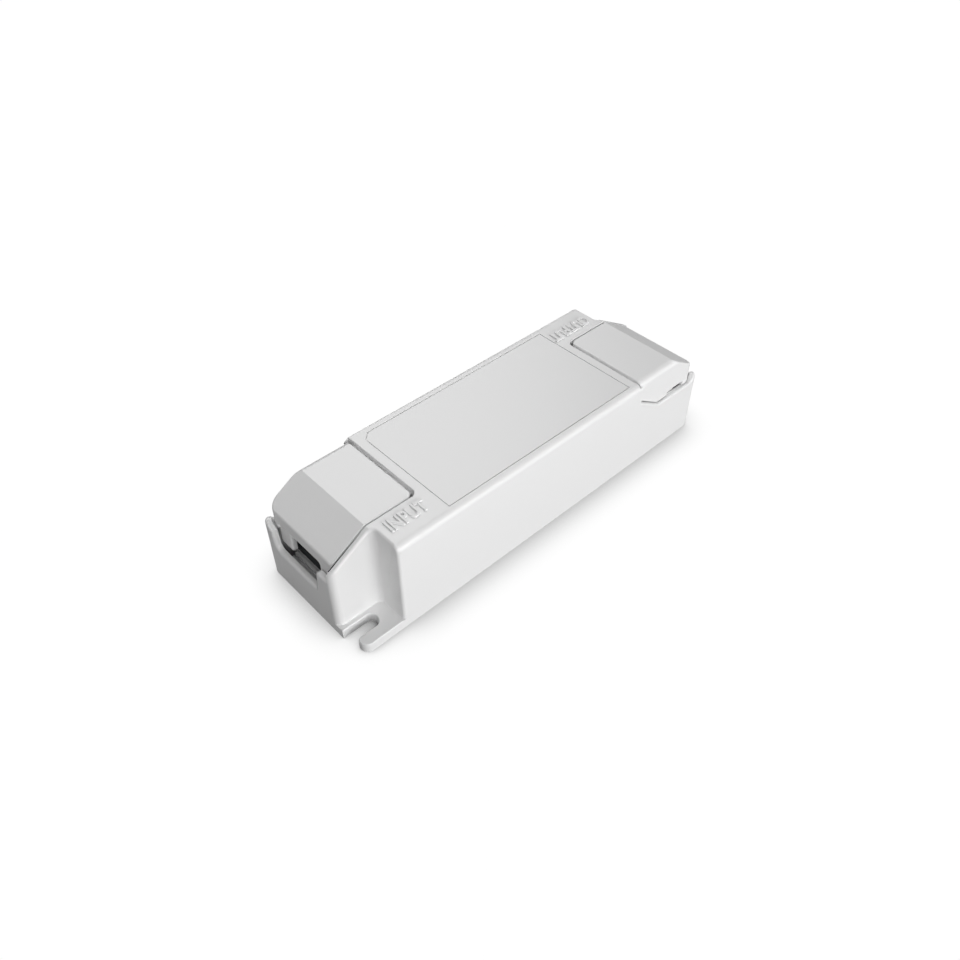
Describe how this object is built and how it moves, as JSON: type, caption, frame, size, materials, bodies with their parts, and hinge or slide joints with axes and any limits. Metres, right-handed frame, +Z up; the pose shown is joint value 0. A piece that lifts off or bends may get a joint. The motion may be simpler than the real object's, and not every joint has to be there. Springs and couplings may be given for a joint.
{
  "type": "led driver",
  "caption": "Long white plastic LED driver with a flat roof, a clip-on terminal cover at each end and slotted lugs at opposite corners; turns mains into low-voltage current.",
  "frame": {"origin": "middle of the flat underside", "axes": "+X along the case from the input end to the output end, +Y across it, +Z up from the underside"},
  "size_m": [0.132, 0.04, 0.0305],
  "materials": {
    "case_plastic": "white satin moulding with a very fine grain",
    "label_film": "blank satin white film",
    "zinc_steel": "bright zinc plate",
    "tinned_brass": "tinned, dull",
    "block_plastic": "dark grey moulding",
    "board_laminate": "green solder mask",
    "fuse_case": "brown moulding",
    "blue_epoxy": "dipped coating",
    "ferrite": "fired, dull",
    "enamelled_copper": "enamelled wire",
    "winding_tape": "yellow polyester tape",
    "bobbin_plastic": "black moulding",
    "film_capacitor_case": "yellow moulded box",
    "chip_epoxy": "black moulding compound",
    "capacitor_sleeve": "shrunk sleeve",
    "plain_aluminium": "mill finish",
    "resistor_lacquer": "lacquered body with tinned leads"
  },
  "bodies": {
    "root": {"housing": "case_plastic", "base_plate": "case_plastic", "input_terminal_cover": "case_plastic", "output_terminal_cover": "case_plastic", "rating_label": "label_film", "input_cable_clamp": "block_plastic", "output_cable_clamp": "block_plastic", "input_clamp_screws": "zinc_steel", "output_clamp_screws": "zinc_steel", "circuit_board": "board_laminate", "input_terminal_block": "block_plastic", "output_terminal_block": "block_plastic", "input_terminal_cages": "tinned_brass", "output_terminal_cages": "tinned_brass", "input_terminal_screws": "zinc_steel", "output_terminal_screws": "zinc_steel", "fuse": "fuse_case", "varistor": "blue_epoxy", "choke_base": "bobbin_plastic", "choke_core": "ferrite", "choke_windings": "enamelled_copper", "x_capacitor": "film_capacitor_case", "bridge_rectifier": "chip_epoxy", "bulk_capacitor": "capacitor_sleeve", "controller_chip": "chip_epoxy", "heatsink": "plain_aluminium", "switch_transistor": "chip_epoxy", "heatsink_screw": "zinc_steel", "optocoupler": "chip_epoxy", "transformer_core": "ferrite", "transformer_bobbin": "bobbin_plastic", "transformer_winding": "winding_tape", "y_capacitor": "blue_epoxy", "output_capacitors": "capacitor_sleeve", "output_rectifier": "chip_epoxy", "output_choke_core": "ferrite", "output_choke_winding": "enamelled_copper", "load_resistor": "resistor_lacquer"}
  },
  "joints": []
}
